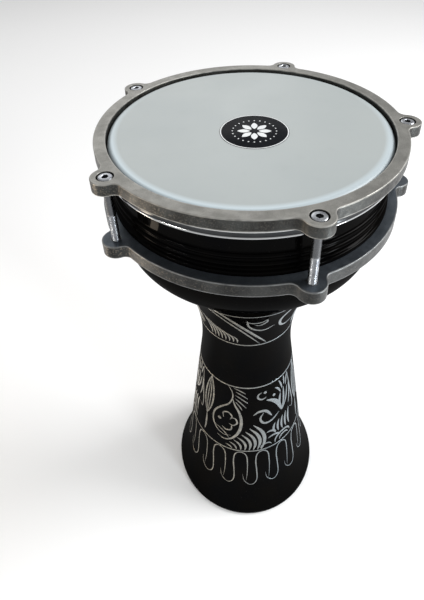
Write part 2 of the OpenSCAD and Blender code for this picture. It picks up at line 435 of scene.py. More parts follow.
@dataclass(frozen=True)
class Finish:
    """A surface finish, made as a procedural material on object coordinates."""

    name: str
    slot: Slot
    colour: Colour
    second: Colour
    metallic: float = 0.0
    roughness: Point = (0.3, 0.45)
    blotch: float = 20.0
    grain: float = 1.0
    bump: float = 0.1
    depth: float = 0.05
    specular: float = 0.5
    coat: float = 0.0
    coat_roughness: float = 0.05

    def tint(self, net: Net, coords: Socket) -> Socket:
        """The base colour: soft blotches between the two colours."""
        share = net.span(net.noise(coords, self.blotch, 3), 0.35, 0.65)
        return net.mix(share, self.colour, self.second)

    def gloss(self, net: Net, coords: Socket) -> Socket:
        """The roughness: patches between its two limits."""
        patches = net.noise(coords, self.blotch * 0.6, 4)
        return net.span(patches, 0.3, 0.7, self.roughness)

    def relief(self, net: Net, coords: Socket) -> Socket:
        """The height that drives the bump: fine grain."""
        return net.noise(coords, self.grain, 3)

    def make(self) -> bpy.types.Material:
        """Builds the material.

        Returns:
            The new material.
        """
        material = bpy.data.materials.new(self.name)
        material.use_nodes = True
        net = Net(material.node_tree)
        coords = net.add("ShaderNodeTexCoord").outputs["Object"]
        bump = net.add(
            "ShaderNodeBump",
            {},
            {
                "Strength": self.bump,
                "Distance": self.depth * MM,
                "Height": self.relief(net, coords),
            },
        ).outputs[0]
        shader = net.add(
            "ShaderNodeBsdfPrincipled",
            {},
            {
                "Base Color": self.tint(net, coords),
                "Metallic": self.metallic,
                "Roughness": self.gloss(net, coords),
                "Normal": bump,
                "Specular IOR Level": self.specular,
                "Coat Weight": self.coat,
                "Coat Roughness": self.coat_roughness,
            },
        ).outputs[0]
        net.add("ShaderNodeOutputMaterial", {}, {0: shader})
        return material


@dataclass(frozen=True)
class Lacquer(Finish):
    """Gloss black lacquer over spun sheet, with faint turning lines and dust."""

    dust: Colour = (0.04, 0.04, 0.04)

    def tint(self, net: Net, coords: Socket) -> Socket:
        """Nearly black, a little warm in patches, with sparse specks of dust."""
        base = super().tint(net, coords)
        specks = net.span(net.noise(coords, 0.9, 1), 0.74, 0.8)
        return net.mix(net.calc("MULTIPLY", specks, 0.35), base, self.dust)

    def relief(self, net: Net, coords: Socket) -> Socket:
        """Turning lines round the axis over a soft orange peel."""
        lines = net.noise(net.stretched(coords, (0.02, 0.02, 1.0)), 0.7, 2)
        peel = net.noise(coords, self.grain, 1)
        return net.calc("MULTIPLY_ADD", lines, 0.35, peel)


@dataclass(frozen=True)
class CutMetal(Finish):
    """Bare metal where the graver went through the lacquer."""

    # Painted reflection: the bluish tone that the cuts take towards +X.
    cool_reflection: Colour = (0.23, 0.26, 0.28)

    def tint(self, net: Net, coords: Socket) -> Socket:
        """Warm towards -X and bluish towards +X, a painted reflection, in lighter and darker patches."""
        base = super().tint(net, coords)
        across = net.add("ShaderNodeSeparateXYZ", {}, {0: coords}).outputs[0]
        # Painted reflection: the tone shifts from warm to bluish across X.
        return net.mix(net.span(across, -0.02, 0.03), base, self.cool_reflection)

    def relief(self, net: Net, coords: Socket) -> Socket:
        """Fine chatter across the cut."""
        return net.noise(net.stretched(coords, (1.0, 1.0, 2.5)), self.grain, 2)


@dataclass(frozen=True)
class CastMetal(Finish):
    """Fine-grained casting with walls darkened as painted shade, and slightly lighter edges."""

    # Painted shade: the side walls' dark tone, and a lighter tone for patches of painted sheen on them.
    wall: Colour = (0.022, 0.0215, 0.020)
    wall_sheen: Colour = (0.048, 0.050, 0.048)
    # Brown flecks of the casting, kept to the walls towards -X as painted warm sheen.
    fleck_sheen: Colour = (0.22, 0.19, 0.15)
    worn: Colour = (0.36, 0.353, 0.33)
    dark: Colour = (0.04, 0.04, 0.04)

    def tint(self, net: Net, coords: Socket) -> Socket:
        """Blotches, pits and grains; walls darkened as painted shade, with patches of painted sheen and
        brown flecks that grow towards -X as painted warm sheen; and lighter edges.

        Args:
            net: The material's nodes.
            coords: The piece's own coordinates.

        Returns:
            The colour.
        """
        # Painted shade: the wall attribute darkens the side walls, with patches of painted sheen.
        wall = net.add("ShaderNodeAttribute", {"attribute_name": WALL}).outputs["Fac"]
        wall_shade_and_sheen = net.mix(net.span(net.noise(coords, 16.0, 3), 0.42, 0.62), self.wall, self.wall_sheen)
        base = net.mix(wall, super().tint(net, coords), wall_shade_and_sheen)
        pits = net.span(net.noise(coords, self.grain * 0.8, 2), 0.56, 0.7)
        pitted = net.mix(net.calc("MULTIPLY", pits, 0.55), base, self.dark)
        grains = net.span(net.noise(coords, self.grain * 0.55, 2), 0.6, 0.72)
        grained = net.mix(net.calc("MULTIPLY", grains, 0.4), pitted, self.worn)
        edge = net.add("ShaderNodeAttribute", {"attribute_name": EDGE}).outputs["Fac"]
        broken = net.span(net.noise(coords, 6.0, 3), 0.3, 0.6, (0.35, 1.0))
        rough = net.span(net.noise(coords, self.grain * 2.2, 3), 0.54, 0.66)
        across = net.add("ShaderNodeSeparateXYZ", {}, {0: coords}).outputs[0]
        # Painted warm sheen: flecks on the walls, stronger towards -X.
        side = net.calc("MULTIPLY", wall, net.span(across, -0.07, -0.01, (0.55, 0.12)))
        speckled = net.mix(net.calc("MULTIPLY", rough, side), grained, self.fleck_sheen)
        return net.mix(net.calc("MULTIPLY", edge, broken), speckled, self.worn)


@dataclass(frozen=True)
class BrightMetal(Finish):
    """Rolled or plated bright metal with faint lines along its length."""

    def relief(self, net: Net, coords: Socket) -> Socket:
        """Rolling lines, close together in height."""
        return net.noise(net.stretched(coords, (0.05, 0.05, 1.0)), self.grain, 2)


@dataclass(frozen=True)
class HoopMetal(BrightMetal):
    """Bright metal whose tone is painted dark as shade, with painted highlights along the crowns of its two
    raised beads.
    """

    beads: tuple[float, float] = (418.5, 423.1)
    # Painted highlight: the colour of the lines along the beads' crowns.
    bead_highlight: Colour = (0.62, 0.63, 0.64)

    def tint(self, net: Net, coords: Socket) -> Socket:
        """The dark tone, which is painted shade, with painted highlights along the beads' crowns.

        Args:
            net: The material's nodes.
            coords: The piece's own coordinates.

        Returns:
            The colour.
        """
        made = super().tint(net, coords)
        height = net.add("ShaderNodeSeparateXYZ", {}, {0: coords}).outputs[2]
        for bead in self.beads:
            away = net.calc("ABSOLUTE", net.calc("SUBTRACT", height, bead * MM))
            # Painted highlight along each bead's crown.
            made = net.mix(net.span(away, 0.25 * MM, 0.6 * MM, (1, 0)), made, self.bead_highlight)
        return made


@dataclass(frozen=True)
class ScrewMetal(Finish):
    """Zinc plate, dulled above the thread, with painted shade on the head's sides and in its socket."""

    thread_top: float = 406.5
    head_top: float = 435.9
    # Dulled zinc of the shank, also used as painted shade on the head's sides and in its socket.
    dull_and_shade: Colour = (0.10, 0.103, 0.11)

    def tint(self, net: Net, coords: Socket) -> Socket:
        """Bright below the thread's run-out and on the head's top face; dulled on the plain shank, and
        darkened as painted shade on the head's sides and in its socket.

        Args:
            net: The material's nodes.
            coords: The piece's own coordinates.

        Returns:
            The colour.
        """
        base = super().tint(net, coords)
        height = net.add("ShaderNodeSeparateXYZ", {}, {0: coords}).outputs[2]
        above = net.span(height, (self.thread_top - 1) * MM, (self.thread_top + 1) * MM)
        # Everything under the head's top face is darkened, as painted shade in the recess and the socket.
        below = net.span(height, (self.head_top - 0.5) * MM, (self.head_top - 0.3) * MM, (1, 0))
        return net.mix(net.calc("MULTIPLY", above, below), base, self.dull_and_shade)


@dataclass(frozen=True)
class FilmFinish(Finish):
    """Smooth coated film, grey, with a painted highlight in a band near its rim."""

    smudge: Colour = (0.31, 0.33, 0.33)
    # Painted highlight: the colour of the band near the rim, strongest towards -Y.
    collar: Colour = (0.50, 0.575, 0.61)
    collar_r: float = 93.4
    collar_w: float = 3.6

    def tint(self, net: Net, coords: Socket) -> Socket:
        """Even blue-grey with faint smudges, and a painted highlight in a band near the rim towards -Y.

        Args:
            net: The material's nodes.
            coords: The piece's own coordinates.

        Returns:
            The colour.
        """
        base = super().tint(net, coords)
        marks = net.span(net.noise(coords, 9.0, 5), 0.58, 0.75)
        marked = net.mix(net.calc("MULTIPLY", marks, 0.10), base, self.smudge)
        flat = net.stretched(coords, (1.0, 1.0, 0.0))
        length = net.add("ShaderNodeVectorMath", {"operation": "LENGTH"}, {0: flat}).outputs[1]
        rim = net.span(length, self.collar_r * MM, (self.collar_r + self.collar_w) * MM)
        across = net.add("ShaderNodeSeparateXYZ", {}, {0: coords}).outputs[1]
        # Painted highlight: the rim band fades away from -Y.
        near = net.span(across, -0.03, 0.05, (1.0, 0.15))
        return net.mix(net.calc("MULTIPLY", rim, near), marked, self.collar)

    def relief(self, net: Net, coords: Socket) -> Socket:
        """A fine tooth over very long, soft waves."""
        return net.calc("MULTIPLY_ADD", net.noise(coords, self.grain, 2), 0.2, net.noise(coords, 45.0, 1))


LACQUER = Lacquer(
    "gloss_black_lacquer", Slot.LACQUER, (0.0006, 0.0007, 0.0010), (0.0016, 0.0013, 0.0010),
    roughness=(0.16, 0.30), blotch=32.0, grain=1.8, bump=0.10, depth=0.04, specular=0.0,
    coat=0.055, coat_roughness=0.04,
)
# Painted reflection: the warm tone of the cuts, which turns bluish towards +X.
CUT = CutMetal(
    "graver_cut_metal", Slot.LACQUER, (0.36, 0.325, 0.26), (0.13, 0.122, 0.105),
    metallic=0.8, roughness=(0.22, 0.42), blotch=2.6, grain=0.4, bump=0.6, depth=0.06,
)
# Its side walls take the default dark wall tone as painted shade.
CAST_TOP = CastMetal(
    "satin_casting", Slot.CAST, (0.315, 0.310, 0.288), (0.232, 0.228, 0.211),
    metallic=0.8, roughness=(0.36, 0.52), blotch=9.0, grain=0.55, bump=0.5, depth=0.06,
)
# Painted shade and painted reflection: a darker, bluer copy of the same casting for the lower ring, which
# sits in the kettle's shade and reflects the black kettle.
CAST_LOW = CastMetal(
    "casting_painted_shade", Slot.CAST, (0.105, 0.122, 0.142), (0.080, 0.094, 0.110),
    metallic=0.8, roughness=(0.30, 0.46), blotch=9.0, grain=0.55, bump=0.5, depth=0.06,
    wall=(0.017, 0.0172, 0.0168), wall_sheen=(0.040, 0.041, 0.040), worn=(0.20, 0.205, 0.205),
    dark=(0.02, 0.02, 0.02),
)
# Painted shade: the hoop's dark tone; its beads get painted highlights.
HOOP = HoopMetal(
    "bright_rolled_hoop", Slot.HOOP, (0.046, 0.048, 0.05), (0.033, 0.035, 0.037),
    metallic=1.0, roughness=(0.08, 0.20), blotch=12.0, grain=0.4, bump=0.15, depth=0.03,
)
SCREW = ScrewMetal(
    "bright_zinc", Slot.SCREW, (0.46, 0.48, 0.50), (0.30, 0.31, 0.34),
    metallic=1.0, roughness=(0.22, 0.36), blotch=3.0, grain=0.35, bump=0.2, depth=0.03,
)
FILM = FilmFinish(
    "satin_film", Slot.FILM, (0.375, 0.405, 0.402), (0.360, 0.392, 0.392),
    roughness=(0.30, 0.40), blotch=60.0, grain=0.35, bump=0.10, depth=0.08, specular=0.4,
)
LABEL_BLACK = Finish(
    "printed_black_vinyl", Slot.LABEL, (0.006, 0.007, 0.009), (0.010, 0.011, 0.013),
    roughness=(0.22, 0.34), blotch=12.0, grain=0.5, bump=0.08, depth=0.02, specular=0.03,
)
LABEL_WHITE = Finish(
    "printed_white_vinyl", Slot.LABEL, (0.72, 0.74, 0.74), (0.66, 0.68, 0.69),
    roughness=(0.25, 0.38), blotch=8.0, grain=0.4, bump=0.08, depth=0.02,
)
WIRE = BrightMetal(
    "drawn_steel_wire", Slot.WIRE, (0.45, 0.46, 0.47), (0.35, 0.35, 0.36),
    metallic=1.0, roughness=(0.3, 0.45), blotch=8.0, grain=0.3, bump=0.2, depth=0.02,
)
RESIN = Finish(
    "cast_amber_resin", Slot.RESIN, (0.68, 0.62, 0.42), (0.58, 0.50, 0.32),
    roughness=(0.4, 0.6), blotch=6.0, grain=0.8, bump=0.3, depth=0.05,
)


class Palette:
    """Makes each finish's material once and hands it out."""

    def __init__(self) -> None:
        """Starts with no materials made."""
        self.made: dict[str, bpy.types.Material] = {}

    def get(self, finish: Finish) -> bpy.types.Material:
        """The finish's material."""
        if finish.name not in self.made:
            self.made[finish.name] = finish.make()
        return self.made[finish.name]


# ---------------------------------------------------------------- mesh helpers


def arc(centre: Point, radius: float, start: float, end: float, steps: int) -> list[Point]:
    """Points on an arc.

    Args:
        centre: The arc's centre.
        radius: Its radius.
        start: The first point's direction in degrees.
        end: The last point's direction in degrees.
        steps: How many steps it takes from the first to the last.

    Returns:
        The points, both ends included.
    """
    turns = [math.radians(start + (end - start) * i / steps) for i in range(steps + 1)]
    return [(centre[0] + radius * math.cos(a), centre[1] + radius * math.sin(a)) for a in turns]


def outline_mesh(name: str, outline: Sequence[Point], closed: bool = True) -> bpy.types.Mesh:
    """A mesh of loose edges through an outline's points, in metres, standing in XZ.

    Args:
        name: The mesh's name.
        outline: Radius and height of each point, in millimetres.
        closed: Whether the outline closes on itself.

    Returns:
        The new mesh.
    """
    points = [*outline, outline[0]] if closed else list(outline)
    mesh = bpy.data.meshes.new(name)
    mesh.from_pydata(
        [(r * MM, 0, z * MM) for r, z in points], [(i, i + 1) for i in range(len(points) - 1)], []
    )
    return mesh


def tidy(mesh: bpy.types.Mesh, sharp: float = 38.0, outwards: bool = True) -> bpy.types.Mesh:
    """Merges doubles, points the faces outwards and marks the sharp edges.

    Args:
        mesh: The mesh to tidy in place.
        sharp: The angle in degrees past which an edge is sharp.
        outwards: False for an open sheet, whose faces already point the right way.

    Returns:
        The same mesh.
    """
    work = bmesh.new()
    work.from_mesh(mesh)
    bmesh.ops.remove_doubles(work, verts=work.verts, dist=1e-6)
    bmesh.ops.dissolve_degenerate(work, edges=work.edges, dist=1e-7)
    if outwards:
        bmesh.ops.recalc_face_normals(work, faces=work.faces)
    limit = math.radians(sharp)
    for face in work.faces:
        face.smooth = True
    for edge in work.edges:
        edge.smooth = len(edge.link_faces) != 2 or edge.calc_face_angle(0.0) < limit
    work.to_mesh(mesh)
    work.free()
    return mesh


class Loft:
    """Builds a mesh from loops of points, with an edge value and a wall value on each point; the wall value
    drives the cast finish's painted shade.
    """

    def __init__(self) -> None:
        """Starts an empty mesh."""
        self.work = bmesh.new()
        self.edge = self.work.verts.layers.float.new(EDGE)
        self.wall = self.work.verts.layers.float.new(WALL)

    def loop(
        self, points: Sequence[Point], z: float, edge: float = 0.0, wall: float = 0.0
    ) -> list[bmesh.types.BMVert]:
        """Adds a loop of points at one height.

        Args:
            points: The loop's points in millimetres.
            z: Their height in millimetres.
            edge: How much of an edge this is, from 0 to 1.
            wall: How much of a side wall this is, from 0 to 1.

        Returns:
            The loop's vertices.
        """
        made = [self.work.verts.new((x * MM, y * MM, z * MM)) for x, y in points]
        for vert in made:
            vert[self.edge], vert[self.wall] = edge, wall
        return made

    def bridge(self, *loops: list[bmesh.types.BMVert]) -> None:
        """Joins each loop to the next with quads."""
        for low, high in zip(loops, loops[1:]):
            count = len(low)
            for i in range(count):
                j = (i + 1) % count
                self.work.faces.new((low[i], low[j], high[j], high[i]))

    def cap(self, loops: Sequence[list]) -> None:
        """Fills the flat area between an outer loop and its holes, all at one height.

        Args:
            loops: The outer loop and the holes' loops.
        """
        verts = [v for loop in loops for v in loop]
        edges, start = [], 0
        for loop in loops:
            count = len(loop)
            edges += [(start + i, start + (i + 1) % count) for i in range(count)]
            start += count
        flat = [Vector((v.co.x / MM, v.co.y / MM)) for v in verts]
        sides = [(flat[i], flat[j]) for i, j in edges]
        made = delaunay_2d_cdt(flat, edges, [], 1, 1e-6, True)
        for face in made[2]:
            middle = sum((made[0][i] for i in face), Vector((0, 0))) / len(face)
            if self.inside(middle, sides):
                self.work.faces.new([verts[made[3][i][0]] for i in face])

    @staticmethod
    def inside(point: Vector, sides: Sequence[tuple[Vector, Vector]]) -> bool:
        """Whether a line from the point crosses the sides an odd number of times.

        Args:
            point: The point to test.
            sides: The ends of each side of the outlines.

        Returns:
            True if the point is in the filled area.
        """
        x, y = point
        odd = False
        for a, b in sides:
            if (a.y > y) != (b.y > y) and x < a.x + (b.x - a.x) * (y - a.y) / (b.y - a.y):
                odd = not odd
        return odd

    def fan(self, loop: list[bmesh.types.BMVert], z: float) -> None:
        """Closes a loop with triangles to a point at its middle."""
        middle = sum((v.co for v in loop), Vector()) / len(loop)
        top = self.work.verts.new((middle.x, middle.y, z * MM))
        for i, vert in enumerate(loop):
            self.work.faces.new((vert, loop[(i + 1) % len(loop)], top))

    def done(self, name: str) -> bpy.types.Mesh:
        """The finished mesh."""
        mesh = bpy.data.meshes.new(name)
        self.work.to_mesh(mesh)
        self.work.free()
        return mesh


@dataclass
class Workshop:
    """What every sub-assembly needs: the palette and the Geometry Nodes trees."""

    palette: Palette = field(default_factory=Palette)
    turning: TurningTree = field(default_factory=TurningTree)
    wrapping: WrappingTree = field(default_factory=WrappingTree)
    thread: ThreadTree = field(default_factory=ThreadTree)
    rosette: RosetteTree = field(default_factory=RosetteTree)

    def turned(
        self, name: str, outline: Sequence[Point], finish: Finish, turns: int = 256,
        closed: bool = True,
    ) -> bpy.types.Mesh:
        """A mesh turned from an outline of radius and height points.

        Args:
            name: The mesh's name.
            outline: Radius and height of each point, in millimetres.
            finish: The finish that it gets.
            turns: Number of steps round the axis.
            closed: Whether the outline closes on itself.

        Returns:
            The new mesh, tidied.
        """
        seed = outline_mesh(f"{name}_outline", outline, closed)
        return tidy(self.turning.run(name, seed, self.palette.get(finish), turns=turns))

    def piece(
        self, name: str, mesh: bpy.types.Mesh, finish: Finish, body: str,
        nodes: Sequence[str] = (),
    ) -> bpy.types.Object:
        """Puts a mesh in the scene as a piece of the drum.

        Args:
            name: The piece's name.
            mesh: Its mesh, in place in the drum's own frame.
            finish: Its finish.
            body: The body that it rides on.
            nodes: The CAD nodes that it stands for.

        Returns:
            The piece's object.
        """
        made = bpy.data.objects.new(name, mesh)
        bpy.context.scene.collection.objects.link(made)
        mesh.materials.clear()
        mesh.materials.append(self.palette.get(finish))
        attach(made, body)
        if nodes:
            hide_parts(*nodes)
        LOG.info("%s: %d faces, rides on %s", name, len(mesh.polygons), body)
        return made

    def dress_node(self, node: str, finish: Finish) -> None:
        """Gives a carried-over CAD node its finish."""
        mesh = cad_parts[node].data
        mesh.materials.clear()
        mesh.materials.append(self.palette.get(finish))
        LOG.info("%s: carried over from the frame", node)


# ---------------------------------------------------------------- the shell


@dataclass
class Kettle:
    """The spun kettle: bearing edge, ribs, stop, rounded shoulder and collar."""

    wall_r: float = 100.0
    wall: float = 2.0
    bead_r: float = 3.0
    bead_z: float = 430.6
    rib_zs: tuple[float, float] = (401.0, 394.5)
    rib_r: float = 2.0
    stop_z: float = 386.0
    shoulder_z: float = 362.5
    shoulder_r: float = 34.5
    floor_angle: float = 15.0
    floor_w: float = 0.5
    fillet_r: float = 6.0
    collar_h: float = 6.5

    @property
    def collar_r(self) -> float:
        """The collar's outer radius."""
        lean = 1 - math.sin(math.radians(self.floor_angle))
        return self.wall_r - (self.shoulder_r + self.fillet_r) * lean - self.floor_w

    @property
    def fillet_c(self) -> Point:
        """The centre of the fillet between the floor and the collar.

        Returns:
            Radius and height.
        """
        a = math.radians(self.floor_angle)
        end_r = self.wall_r - self.shoulder_r + self.shoulder_r * math.sin(a)
        end_z = self.shoulder_z - self.shoulder_r * math.cos(a)
        start_r = self.collar_r + self.fillet_r * (1 - math.sin(a))
        start_z = end_z - math.tan(a) * (end_r - start_r)
        return (self.collar_r + self.fillet_r, start_z - self.fillet_r * math.cos(a))

    @property
    def seam_z(self) -> float:
        """The height of the collar's lower end."""
        return self.fillet_c[1] - self.collar_h

    def under(self, depth: float) -> list[Point]:
        """The shoulder, floor and collar at a depth under the outer skin, from the top down.

        Args:
            depth: How far under the outer skin, in millimetres.

        Returns:
            Radius and height of each point.
        """
        a = self.floor_angle
        centre = (self.wall_r - self.shoulder_r, self.shoulder_z)
        return [
            *arc(centre, self.shoulder_r - depth, 0, a - 90, 56),
            *arc(self.fillet_c, self.fillet_r + depth, 90 + a, 180, 12),
            (self.collar_r - depth, self.seam_z),
        ]

    def outline(self) -> list[Point]:
        """The kettle's closed section.

        Returns:
            Radius and height of each point.
        """
        r, roll = self.wall_r, (self.wall_r - self.bead_r, self.bead_z)
        meet = -math.degrees(math.acos((self.bead_r - self.wall) / self.bead_r))
        points = arc(roll, self.bead_r, meet, -360, 44)
        points += [(r, 428.0), (r, 420.0), (r, 410.0)]
        for z in self.rib_zs:
            points += [(r, z + 3.2), (r + 0.05, z + 2.6), (r + 0.3, z + 2.15)]
            points += arc((r, z), self.rib_r, 78, -78, 16)
            points += [(r + 0.3, z - 2.15), (r + 0.05, z - 2.6), (r, z - 3.2)]
        z = self.stop_z
        points += [(r, z + 4.0), (r + 0.15, z + 3.6), (r + 0.7, z + 3.25)]
        points += arc((r + 1.4, z + 1.6), 1.4, 75, 0, 6)
        points += [(r + 2.8, z + 0.5), (r + 2.65, z + 0.15), (r + 2.3, z), (r, z)]
        points += [(r, z - 6), (r, z - 12), (r, z - 18)]
        inside = [(r - self.wall, z) for z in (self.shoulder_z + 12, 390.0, 410.0)]
        return points + self.under(0) + self.under(self.wall)[::-1] + inside

    def build(self, shop: Workshop) -> None:
        """Makes the kettle and dresses the wire in its edge."""
        mesh = shop.turned("kettle_shell", self.outline(), LACQUER, 320)
        shop.piece("kettle_shell", mesh, LACQUER, Body.DRUM.value, ["kettle"])
        shop.dress_node("edge_wire", WIRE)


@dataclass
class Stem:
    """The stem: spigot, seam bead, hollow neck, waist, cone, flare and rolled hem."""

    collar_r: float
    seam_z: float
    wall: float = 2.0
    joint_gap: float = 0.1
    seam_h: float = 3.0
    spigot_h: float = 5.5
    neck_step: float = 0.4
    waist_r: float = 42.4
    waist_z: float = 221.0
    waist_curve_r: float = 190.0
    cone_angle: float = 7.1
    foot_r: float = 76.5
    flare_z: float = 58.0
    hem_w: float = 5.5
    hem_h: float = 5.0

    @property
    def spigot_r(self) -> float:
        """The spigot's outer radius."""
        return self.collar_r - self.wall - self.joint_gap

    def skin(self, depth: float) -> list[Point]:
        """The stem's line at a depth under its outer skin, from the seam down to the hem.

        Args:
            depth: How far under the outer skin, in millimetres.

        Returns:
            Radius and height of each point.
        """
        top_z, top_r = self.seam_z - self.seam_h, self.spigot_r - self.neck_step
        rise, run = top_z - self.waist_z, top_r - self.waist_r
        neck_r = (rise * rise + run * run) / (2 * run)
        neck_a = math.degrees(math.asin(rise / neck_r))
        lean = math.radians(self.cone_angle)
        cone_r = self.waist_r + self.waist_curve_r * (1 - math.cos(lean))
        cone_z = self.waist_z - self.waist_curve_r * math.sin(lean)
        flare_r0 = cone_r + math.tan(lean) * (cone_z - self.flare_z)
        drop, out = self.flare_z - self.hem_h, self.foot_r - flare_r0
        end = 2 * math.atan(out / drop) - lean
        flare_r = drop / (math.sin(end) - math.sin(lean))
        flare_c = (
            flare_r0 + flare_r * math.cos(lean), self.flare_z + flare_r * math.sin(lean)
        )
        waist_c = (self.waist_r + self.waist_curve_r, self.waist_z)
        cone = self.cone_angle
        top = arc(waist_c, self.waist_curve_r + depth, 180, 180 + cone, 8)
        foot = arc(flare_c, flare_r + depth, 180 + cone, 180 + math.degrees(end), 28)
        between = [
            (top[-1][0] + (foot[0][0] - top[-1][0]) * t, top[-1][1] + (foot[0][1] - top[-1][1]) * t)
            for t in (0.17, 0.33, 0.5, 0.67, 0.83)
        ]
        neck = arc((self.waist_r + neck_r, self.waist_z), neck_r + depth, 180 - neck_a, 180, 40)
        return [*neck, *top[1:], *between, *foot]

    def outline(self) -> list[Point]:
        """The stem's closed section.

        Returns:
            Radius and height of each point.
        """
        inner, low = self.spigot_r - self.wall, self.seam_z - self.seam_h
        bead = arc((self.collar_r - 1.5, low + 1.5), 1.5, 90, -90, 12)
        top = [
            (inner, self.seam_z + self.spigot_h), (self.spigot_r, self.seam_z + self.spigot_h),
            (self.spigot_r, self.seam_z + 0.02),
        ]
        f, m = self.foot_r, self.foot_r - self.hem_w
        hem = [
            (f + 0.20, 4.3), (f + 0.28, 3.5), (f + 0.30, 2.7), (f + 0.22, 1.9), (f - 0.05, 1.1),
            (f - 0.55, 0.45), (f - 1.3, 0.08), (f - 2.1, 0.0), (m + 1.4, 0.0), (m + 0.6, 0.15),
            (m + 0.15, 0.6), (m, 1.2), (m, 4.1), (m + 0.2, 4.7), (m + 0.8, 5.0),
        ]
        return [*top, *bead, *self.skin(0), *hem, *self.skin(self.wall)[::-1]]

    def build(self, shop: Workshop) -> bpy.types.Object:
        """Makes the stem and dresses the wire in its hem.

        Returns:
            The stem's piece, which the engraving is laid on.
        """
        mesh = shop.turned("stem_shell", self.outline(), LACQUER, 320)
        made = shop.piece("stem_shell", mesh, LACQUER, Body.DRUM.value, ["stem"])
        shop.dress_node("foot_wire", WIRE)
        return made


# ---------------------------------------------------------------- the engraving


@dataclass(frozen=True)
class Stroke:
    """One cut of the graver: its line across the unrolled stem, its width and its ends."""

    points: tuple[Point, ...]
    width: float = 1.2
    tapered: bool = True
    straight: bool = False


def bowed(start: Point, end: Point, sag: float, width: float = 1.2, tapered: bool = True) -> Stroke:
    """A cut between two points that bows to its left by sag.

    Args:
        start: The cut's first end.
        end: The cut's other end.
        sag: How far its middle stands to the left, in millimetres.
        width: The cut's width, in millimetres.
        tapered: Whether its ends narrow.

    Returns:
        The cut.
    """
    dx, dz = end[0] - start[0], end[1] - start[1]
    length = math.hypot(dx, dz)
    nx, nz = -dz / length, dx / length
    middle = [
        (start[0] + dx * t + nx * sag * 4 * t * (1 - t), start[1] + dz * t + nz * sag * 4 * t * (1 - t))
        for t in (0.25, 0.5, 0.75)
    ]
    return Stroke((start, *middle, end), width, tapered)


def ringlet(centre: Point, radius: float, start: float, end: float, width: float = 1.2) -> Stroke:
    """A cut along part of a circle."""
    return Stroke(tuple(arc(centre, radius, start, end, 8)), width)


def dot(centre: Point, radius: float) -> Stroke:
    """A round dot, as one short fat cut."""
    return Stroke(
        ((centre[0] - radius, centre[1]), centre, (centre[0] + radius, centre[1])), radius * 2.2
    )


@dataclass
class Band:
    """One band of the engraving, repeated round the stem."""

    name: str
    radius: float
    repeats: int
    strokes: list[Stroke]
    front: float = -90.0
    rise: float = 0.10
    sink: float = 0.05
    spacing: float = 1.3

    @staticmethod
    def smooth(points: Sequence[Point], spacing: float) -> list[Point]:
        """A smooth line through the points, with one point for each spacing.

        Args:
            points: The points, in millimetres.
            spacing: The distance between the points made, in millimetres.

        Returns:
            The points of the line.
        """
        ends = [
            (2 * points[0][0] - points[1][0], 2 * points[0][1] - points[1][1]),
            *points,
            (2 * points[-1][0] - points[-2][0], 2 * points[-1][1] - points[-2][1]),
        ]
        made = []
        for p0, p1, p2, p3 in zip(ends, ends[1:], ends[2:], ends[3:]):
            count = max(2, round(math.dist(p1, p2) / spacing))
            for k in range(count):
                t = k / count
                made.append(tuple(
                    0.5 * (
                        2 * b + (c - a) * t + (2 * a - 5 * b + 4 * c - d) * t * t
                        + (3 * b - a - 3 * c + d) * t ** 3
                    )
                    for a, b, c, d in zip(p0, p1, p2, p3)
                ))
        return [*made, points[-1]]

    def ribbon(self, stroke: Stroke, verts: list, faces: list) -> None:
        """Adds one cut as a low ridge of five points across.

        Args:
            stroke: The cut.
            verts: The motif's vertices, added to.
            faces: The motif's faces, added to.
        """
        line = list(stroke.points) if stroke.straight else self.smooth(stroke.points, self.spacing)
        count, first = len(line), len(verts)
        across = ((-0.5, -self.sink), (-0.38, self.rise * 0.8), (0, self.rise),
                  (0.38, self.rise * 0.8), (0.5, -self.sink))
        for i, (x, z) in enumerate(line):
            before, after = line[max(i - 1, 0)], line[min(i + 1, count - 1)]
            dx, dz = after[0] - before[0], after[1] - before[1]
            length = math.hypot(dx, dz) or 1.0
            share = i / (count - 1)
            fat = math.sin(math.pi * share) ** 0.55 if stroke.tapered else 1.0
            fat = max(fat, 0.12) * stroke.width
            for side, lift in across:
                px, pz = x - dz / length * fat * side, z + dx / length * fat * side
                verts.append((math.radians(self.front) + px / self.radius, pz * MM, lift * MM))
        wide = len(across)
        for i in range(count - 1):
            for k in range(wide - 1):
                a = first + i * wide + k
                faces.append((a, a + 1, a + wide + 1, a + wide))

    def build(self, shop: Workshop, stem: bpy.types.Object) -> None:
        """Makes the band and lays it on the stem.

        Args:
            shop: What makes the meshes and the pieces.
            stem: The stem, which the cuts are laid on.
        """
        verts: list = []
        faces: list = []
        for stroke in self.strokes:
            self.ribbon(stroke, verts, faces)
        seed = bpy.data.meshes.new(f"{self.name}_motif")
        seed.from_pydata(verts, [], faces)
        mesh = shop.wrapping.run(
            self.name, seed, shop.palette.get(CUT), stem=stem, repeats=self.repeats
        )
        self.face_out(mesh)
        shop.piece(self.name, mesh, CUT, Body.DRUM.value)

    @staticmethod
    def face_out(mesh: bpy.types.Mesh) -> None:
        """Turns each face so that it points away from the axis.

        Args:
            mesh: The mesh, which is changed.
        """
        work = bmesh.new()
        work.from_mesh(mesh)
        work.normal_update()
        wrong = [
            f for f in work.faces
            if f.normal.dot(Vector((f.calc_center_median().x, f.calc_center_median().y, 0))) < 0
        ]
        bmesh.ops.reverse_faces(work, faces=wrong)
        for face in work.faces:
            face.smooth = True
        work.to_mesh(mesh)
        work.free()


